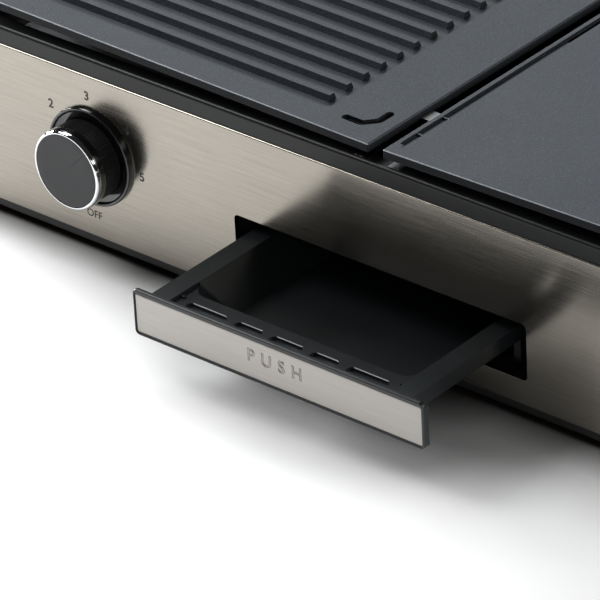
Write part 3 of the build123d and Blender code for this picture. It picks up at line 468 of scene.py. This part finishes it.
STEEL = (0.327, 0.303, 0.264)
FINISHES = {
    "fascia_steel": brushed("front_brushed_steel", STEEL, roughness=0.19, contrast=0.17, relief=0.01),
    "inlay_steel": brushed("inlay_brushed_steel", (0.41, 0.389, 0.366), roughness=0.34),
    "base_plastic": moulded("base_plastic", (0.015, 0.0145, 0.014), 0.5),
    "panel_plastic": moulded("end_panel_plastic", (0.014, 0.014, 0.015), 0.45),
    "rear_sheet": enamelled("rear_black_paint", (0.018, 0.018, 0.019), 0.38),
    "frame_enamel": enamelled("frame_black_enamel", (0.011, 0.012, 0.013), 0.34, specular=0.28),
    "reflector_steel": brushed("reflector_rolled_aluminium", (0.5, 0.5, 0.51), "Y", 0.42),
    "element_steel": scorched("heater_sheath", (0.085, 0.08, 0.08)),
    "bracket_steel": brushed("bracket_bright_steel", (0.36, 0.355, 0.345), "Y", 0.34),
    "cast_nonstick": coated("plate_nonstick", (0.021, 0.026, 0.033), 0.38, speckle=0.75, relief=0.04),
    "drawer_plastic": moulded("drawer_black_plastic", (0.0125, 0.0155, 0.017), 0.34, relief=0.006, coat=0.12),
    "housing_plastic": moulded("sleeve_plastic", (0.012, 0.012, 0.013), 0.5),
    "latch_plastic": moulded("latch_natural_plastic", (0.6, 0.59, 0.55), 0.4),
    "spring_steel": plated("spring_wire", (0.45, 0.45, 0.46), 0.25),
    "screw_steel": plated("zinc_plated_screws", (0.5, 0.5, 0.52), 0.25),
    "thermostat_plastic": moulded("thermostat_phenolic", (0.3, 0.22, 0.13), 0.5),
    "spindle_steel": brushed("spindle_turned_steel", (0.4, 0.4, 0.4), "Y"),
    "bezel_gloss": moulded("bezel_gloss_black", (0.008, 0.008, 0.009), 0.12, relief=0.002, coat=0.6),
    "knob_plastic": moulded("knob_grip_black", (0.018, 0.018, 0.02), 0.42),
    "ring_chrome": plated("knob_ring_chrome", (0.8, 0.81, 0.83)),
    "knob_face_paint": enamelled("knob_face_dark_grey", (0.02, 0.021, 0.0235), 0.36, specular=0.36),
    "foot_rubber": moulded("foot_rubber", (0.02, 0.02, 0.02), 0.75, relief=0.03),
    "ceramic": moulded("terminal_ceramic", (0.62, 0.58, 0.5), 0.6),
    "brass": plated("brass_screws", (0.6, 0.42, 0.16), 0.25),
    "wire_sleeve": sleeved("wire_red_sleeve", (0.32, 0.03, 0.02)),
    "bushing_rubber": moulded("bushing_rubber", (0.015, 0.015, 0.015), 0.7, relief=0.02),
}
PRINT = enamelled("dial_print_dark", (0.02, 0.02, 0.02), 0.5)
# The PUSH letters: a darker copy of the front's steel, painted shade on the raised outlines.
EMBOSSED_SHADED = brushed("embossed_steel_painted_shade", shade(STEEL, 0.85)[:3])
# Steel edge finish: a much lighter copy of the front's steel, a painted highlight on the rounded edges.
STEEL_EDGE_HIGHLIGHT = plated("steel_edge_painted_highlight", (0.72, 0.71, 0.68), 0.3)
# Plate edge finish: a much lighter copy of the non-stick coat, a painted highlight on the rounded upper edges.
PLATE_HIGHLIGHT = coated("plate_rim_painted_highlight", (0.29, 0.325, 0.36), 0.25, speckle=0.5)
# Plate wall finish: a darker copy of the non-stick coat, painted shade on the upright walls.
PLATE_WALL_SHADE = coated("plate_wall_painted_shade", (0.012, 0.013, 0.015), 0.6, specular=0.15)
# Drawer pocket edge finish: a lighter, glossier copy of the drawer plastic, a painted highlight.
POCKET_HIGHLIGHT = moulded("drawer_edge_painted_highlight", (0.07, 0.078, 0.082), 0.16, relief=0.004, coat=1.0)

# The record's finish for each node, and the body that each node moves with.
SLOTS = {subpart["node"]: subpart["material_slot"] for subpart in frame["record"]["subparts"]}
BODY_OF = {node: body for body, nodes in frame["record"]["behaviour"]["bodies"].items() for node in nodes}


def paint(piece, finish):
    """Gives a piece one finish all over."""
    piece.data.materials.clear()
    piece.data.materials.append(finish)
    return piece


def stands_for(piece, node):
    """Gives a new piece its body, and a finish if it has none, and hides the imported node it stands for."""
    if not piece.data.materials:
        paint(piece, FINISHES[SLOTS[node]])
    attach(piece, BODY_OF[node])
    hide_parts(node)


def rides_on(piece, node, finish):
    """Adds a detail to the body that a node belongs to."""
    paint(piece, finish)
    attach(piece, BODY_OF[node])


for node, thing in frame["nodes"].items():
    for material_slot in thing.material_slots:
        material_slot.material = FINISHES[SLOTS[node]]


# Camera, light and floor

# The camera's angles in degrees, its place in metres and its lens, all from the photograph's long edges.
VIEW_ROUND = 41.7639
VIEW_TILT = 59.2442
VIEW_ROLL = -3.1115
VIEW_PLACE = Vector((1.35727, -1.70543, 1.27415))
VIEW_LENS = 314.13


def look():
    """Camera at the photograph's place, turned round the grill, tilted down and rolled."""
    eye = bpy.data.cameras.new("view")
    camera = bpy.data.objects.new("view", eye)
    bpy.context.scene.collection.objects.link(camera)
    turned_round = Matrix.Rotation(radians(VIEW_ROUND), 4, "Z")
    tilted = Matrix.Rotation(radians(VIEW_TILT), 4, "X")
    rolled = Matrix.Rotation(radians(VIEW_ROLL), 4, "Z")
    camera.matrix_world = Matrix.Translation(VIEW_PLACE) @ turned_round @ tilted @ rolled
    eye.sensor_width = 36.0
    eye.lens = VIEW_LENS
    eye.clip_start = 0.05
    bpy.context.scene.camera = camera


WHITE = (1, 1, 1)
SKY_WHITE = (0.93, 0.97, 1)
# Each lamp's name, place, aim, width, height (all in metres), power in watts and colour.
LAMPS = (
    ("left_box", (-1.93, 0.24, 0.5), (0, 0, 0.05), 0.9, 0.5, 66, WHITE),
    ("right_box", (1.75, 0.5, 0.7), (0, 0, 0.05), 0.9, 0.7, 26, WHITE),
    ("overhead", (-0.99, -0.42, 1.05), (0, 0, 0.05), 0.6, 0.45, 7, WHITE),
    ("top_box", (-0.9, 0.16, 1.3), (0, 0, 0.05), 0.6, 0.5, 3.5, SKY_WHITE),
    ("rear", (-1.35, 1.5, 1.25), (0, 0, 0.1), 1.3, 0.9, 5.5, SKY_WHITE),
    ("right_card", (1.15, -0.85, 0.62), (0, 0, 0.05), 0.75, 0.22, 1.3, WHITE),
)
ROOM_LIGHT = 0.12
ROOM_MIRRORED = 0.02
FLOOR_GLOW = 0.36


def lamp(name, place, target, width, height, power, colour):
    """Rectangular lamp that looks at a point."""
    light = bpy.data.lights.new(name, "AREA")
    light.shape = "RECTANGLE"
    light.size = width
    light.size_y = height
    light.energy = power
    light.color = colour
    holder = bpy.data.objects.new(name, light)
    holder.location = place
    holder.rotation_euler = (Vector(target) - Vector(place)).to_track_quat("-Z", "Y").to_euler()
    bpy.context.scene.collection.objects.link(holder)


def seen(tree):
    """Number that is 1 for the camera, mirrors and glass, and 0 for lighting."""
    path = tree.nodes.new("ShaderNodeLightPath")
    first = tree.nodes.new("ShaderNodeMath")
    first.operation = "MAXIMUM"
    tree.links.new(path.outputs["Is Camera Ray"], first.inputs[0])
    tree.links.new(path.outputs["Is Glossy Ray"], first.inputs[1])
    second = tree.nodes.new("ShaderNodeMath")
    second.operation = "MAXIMUM"
    tree.links.new(first.outputs[0], second.inputs[0])
    tree.links.new(path.outputs["Is Transmission Ray"], second.inputs[1])
    return second.outputs[0]


def room():
    """White to the camera, dim as a light, and dimmer still in what mirrors it."""
    world = bpy.data.worlds.new("room")
    bpy.context.scene.world = world
    world.use_nodes = True
    tree = world.node_tree
    path = tree.nodes.new("ShaderNodeLightPath")
    dim = tree.nodes.new("ShaderNodeMapRange")
    dim.inputs[3].default_value = ROOM_LIGHT
    dim.inputs[4].default_value = ROOM_MIRRORED
    tree.links.new(path.outputs["Is Glossy Ray"], dim.inputs[0])
    white = tree.nodes.new("ShaderNodeMath")
    white.operation = "MAXIMUM"
    tree.links.new(dim.outputs[0], white.inputs[0])
    tree.links.new(path.outputs["Is Camera Ray"], white.inputs[1])
    background = tree.nodes["Background"]
    background.inputs["Color"].default_value = (1, 1, 1, 1)
    tree.links.new(white.outputs[0], background.inputs["Strength"])


def white_floor():
    """White floor that glows to the camera and in mirrors but lights nothing, with painted shadow near the
    grill and to its right.
    """
    deselect()
    bpy.ops.mesh.primitive_plane_add(size=12, location=(0, 0, 0))
    floor = placed("floor")
    finish = Finish("floor_white", Roughness=0.9, Specular_IOR_Level=0.1)
    white = finish.tint(finish.noise(6.0, 2.0), (0.96, 0.96, 0.96, 1), (0.98, 0.98, 0.98, 1))
    # Painted contact shadow: the floor's colour goes from white to dark brown near the grill.
    painted_shadow_mask = finish.ramp(finish.shaded(30), 0.3, 0.9)
    finish.feed("Base Color", finish.tint(painted_shadow_mask, (0.03, 0.022, 0.017, 1), white))
    finish.feed("Emission Color", (1, 1, 1, 1))
    # Painted shadow: the glow is dimmed to the right of the drawer and near the grill.
    painted_right_shadow = 1 - finish.ramp(finish.axis("X"), 0.08, 0.24) * 0.7
    glow = Socket(finish, seen(finish.tree)) * finish.ramp(finish.shaded(90), 0.5, 0.86) * painted_right_shadow
    finish.feed("Emission Strength", glow * FLOOR_GLOW)
    paint(floor, finish.material)


def studio():
    """White floor between a low lamp on each side, with small lamps over it for the edges' lights."""
    room()
    for settings in LAMPS:
        lamp(*settings)
    white_floor()


# Knobs and dials

GRIP_FLUTES = 96
GRIP_RADIUS = 20.3
GRIP_LENGTH = 11
GRIP_MIDDLE = -7.5
FLUTE_DEPTH = 0.42
# Where the ring's chrome ends: from here back to the grip its side is painted gloss black, a painted dark
# reflection.
DARK_REFLECTION_START = -16.5
# The numbers' distance from the knob's axis, and their directions in degrees from the right.
DIAL_RADIUS = 32.2
DIAL_TURNS = {"1": 190, "2": 140, "3": 91, "4": 41.5, "5": -2.6}


def knob_grip():
    """Black knob body: a ring of fine flutes round a hollow with a hub for the spindle."""
    deselect()
    middle = at(KNOB_X, GRIP_MIDDLE, KNOB_Z)
    bpy.ops.mesh.primitive_cylinder_add(vertices=2 * GRIP_FLUTES, radius=GRIP_RADIUS * MM,
                                        depth=GRIP_LENGTH * MM, location=middle, rotation=(pi / 2, 0, 0))
    grip = placed("right_knob_grip_fluted")
    step = pi / GRIP_FLUTES
    edit(grip, "VERT", lambda place, direction: round(angle_of(place) / step) % 2 == 1)
    shrink = (GRIP_RADIUS - FLUTE_DEPTH) / GRIP_RADIUS
    bpy.ops.transform.resize(value=(shrink, 1, shrink), center_override=middle)
    leave()
    edit(grip, "FACE", lambda place, direction: abs(direction.y) > 0.9)
    inset(0.35, 0.3)
    leave()
    edit(grip, "FACE", lambda place, direction: direction.y > 0.9 and place.y > -2.5)
    inset(1.9)
    pull(0, -6, 0)
    inset(9.5)
    pull(0, 4.5, 0)
    inset(3.0)
    pull(0, -4.5, 0)
    leave()
    return smooth(grip, 28)


def angle_of(place):
    """Direction of a point from the right knob's axis."""
    return Vector((place.x - KNOB_X, place.z - KNOB_Z)).angle_signed(Vector((1, 0))) % (2 * pi)


def knob_ring():
    """Knob's ring: a chromed round shoulder in front, and a straight side painted black as a painted dark
    reflection.
    """
    profile = [(19.15, -13.0), (20.8, -13.0), (20.86, -13.6), (20.86, -16.4)]
    for step in range(1, 8):
        turn = radians(90 * step / 7)
        profile.append((19.5 + 1.36 * cos(turn), -16.4 - 2.3 * sin(turn)))
    profile += [(19.3, -18.66), (19.15, -18.5)]
    ring = smooth(turned("right_knob_ring_bright", profile), 40)
    paint(ring, FINISHES["ring_chrome"])
    # The ring's straight side is painted gloss black: a painted dark reflection.
    patched(ring, FINISHES["bezel_gloss"], lambda place, direction: place.y > DARK_REFLECTION_START)
    return ring


def knob_face():
    """Slightly dished dark face with a rounded edge and a scribed pointer."""
    profile = [(0.004, -13.5), (15.0, -13.5), (15.0, -13.05), (18.9, -13.05), (19.1, -13.4), (19.1, -18.2),
               (18.95, -18.45)]
    for radius in (18.6, 15.0, 11.0, 7.0, 3.0, 0.004):
        profile.append((radius, -18.5 + 0.16 * (1 - (radius / 18.6) ** 2)))
    face = turned("right_knob_face_dished", profile)
    pointer = block("pointer_tool", KNOB_X + 4.2, KNOB_X + 17.2, -19.5, -18.15, KNOB_Z - 0.16, KNOB_Z + 0.16)
    edit(pointer, "VERT", lambda place, direction: True)
    bpy.ops.transform.rotate(value=radians(45), orient_axis="Y", center_override=at(KNOB_X, 0, KNOB_Z))
    leave()
    return smooth(cut(face, pointer), 30)


def bezel():
    """Black dish behind the knob: a turned floor and a rolled outer lip."""
    profile = [(6.4, -0.02), (26.0, -0.02), (26.0, -1.5)]
    for step in range(1, 9):
        turn = radians(180 * step / 8)
        profile.append((25.05 + 0.95 * cos(turn), -1.62 - 0.96 * sin(turn)))
    profile += [(23.9, -1.45), (23.4, -1.2), (6.4, -1.2)]
    return smooth(turned("right_bezel_rolled", profile), 40)


def copied_left(piece, name):
    """The same knob piece, moved to the left knob with its own mesh."""
    twin = piece.copy()
    twin.data = piece.data.copy()
    twin.name = twin.data.name = name
    bpy.context.scene.collection.objects.link(twin)
    twin.data.transform(Matrix.Translation((-2 * KNOB_X * MM, 0, 0)))
    return twin


def knobs():
    """Both knobs and the dishes behind them."""
    for node, make in (("knob_grip", knob_grip), ("knob_ring", knob_ring), ("knob_face", knob_face),
                       ("bezel", bezel)):
        piece = make()
        twin = copied_left(piece, piece.name.replace("right", "left"))
        stands_for(piece, "right_" + node)
        stands_for(twin, "left_" + node)


def dial_marks():
    """Printed OFF and numbers round each knob."""
    lift = -0.05
    for side, x in (("left", -KNOB_X), ("right", KNOB_X)):
        marks = [stand_at(words("mark", "OFF", 4.1, weight=0.05), x - 1, lift, KNOB_Z - DIAL_RADIUS - 0.5)]
        for number, degree in DIAL_TURNS.items():
            turn = radians(degree)
            mark = words("mark", number, 4.8, weight=0.16)
            marks.append(stand_at(mark, x + DIAL_RADIUS * cos(turn), lift, KNOB_Z + DIAL_RADIUS * sin(turn)))
        rides_on(join(f"{side}_dial_marks", marks), f"{side}_bezel", PRINT)


# Drawer

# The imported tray's frame: where its end walls begin, their back, their upper corners, and their new slant.
FRAME_END = 84.5
FRAME_BACK = -69.6
FRAME_CORNER = 45
FRAME_SLANT = 1.7
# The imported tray's ledge, and the rear side of the pockets in it.
LEDGE_TOP = 43.7
POCKET_REAR = -63.1


def inlay():
    """Brushed steel plate of the drawer front, its edges rolled over."""
    plate = block("drawer_inlay_rolled", -85, 85, 0.5, 1.3, 24.4, 44.4)
    edit(plate, "EDGE", lambda place, direction: abs(direction.y) > 0.9)
    bpy.ops.mesh.bevel(offset=1.0 * MM, segments=5, affect="EDGES")
    leave()
    edit(plate, "FACE", lambda place, direction: direction.y < -0.9)
    inset(0.35, 0.16)
    leave()
    plate.data.transform(Matrix.Translation((0, -DRAWER_OUT * MM, 0)))
    return smooth(plate, 30)


def push_word():
    """Raised outlined letters in the middle of the drawer front."""
    word = words("push_word", "PUSH", 6.6, outline=0.24, spacing=1.8)
    word.data.transform(Matrix.Diagonal((1.0, 1.0, 0.9, 1.0)))
    return stand_at(word, -0.8, 0.36 - DRAWER_OUT, 36)


def tray():
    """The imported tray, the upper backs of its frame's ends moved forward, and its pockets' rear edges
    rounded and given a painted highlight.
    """
    piece = from_frame("drawer_tray")
    edit(piece, "VERT", lambda place, direction: abs(place.x) > FRAME_END and place.y > FRAME_BACK
         and place.z > FRAME_CORNER)
    bpy.ops.transform.translate(value=(0, -FRAME_SLANT * MM, 0))
    leave()
    edit(piece, "EDGE", lambda place, direction: abs(direction.x) > 0.9 and abs(place.y - POCKET_REAR) < 0.05
         and abs(place.z - LEDGE_TOP) < 0.05)
    bpy.ops.mesh.bevel(offset=0.5 * MM, segments=2, affect="EDGES")
    leave()
    # The pockets' rounded rear edges get the lighter plastic: painted highlight.
    patched(piece, POCKET_HIGHLIGHT, lambda place, direction: abs(place.y - POCKET_REAR) < 0.6
            and direction.y < -0.2 and 0.2 < direction.z < 0.95)
    return smooth(piece)


def drawer():
    """The drawer's front plate with its raised word, and its tray."""
    stands_for(inlay(), "drawer_inlay")
    # The letters' darker steel is painted shade.
    rides_on(push_word(), "drawer_inlay", EMBOSSED_SHADED)
    stands_for(tray(), "drawer_tray")


# Body

# How wide the sharp edges are rounded, in millimetres.
EDGE_WIDTHS = {
    "base_pan": 0.3,
    "left_side_panel": 0.3,
    "right_side_panel": 0.3,
    "rear_panel": 0.15,
    "upper_housing": 0.3,
    "grease_funnel": 0.2,
    "plate_spacers": 0.15,
    "left_plate_rests": 0.12,
    "right_plate_rests": 0.12,
    "drawer_housing": 0.2,
}


def body():
    """The steel front with a painted highlight on its rounded edges, the black shell, and the plates with
    painted highlights on their upper edges and painted shade on their upright walls.
    """
    # The front's rounded edges get the painted highlight.
    stands_for(from_frame("front_fascia", 0.3, STEEL_EDGE_HIGHLIGHT), "front_fascia")
    for node, width in EDGE_WIDTHS.items():
        stands_for(from_frame(node, width), node)
    for node in ("left_grill_plate", "right_plancha_plate"):
        stands_for(from_frame(node, 0.36, PLATE_HIGHLIGHT, PLATE_WALL_SHADE), node)


body()
knobs()
dial_marks()
drawer()
bpy.context.scene.view_settings.view_transform = "Standard"
look()
studio()
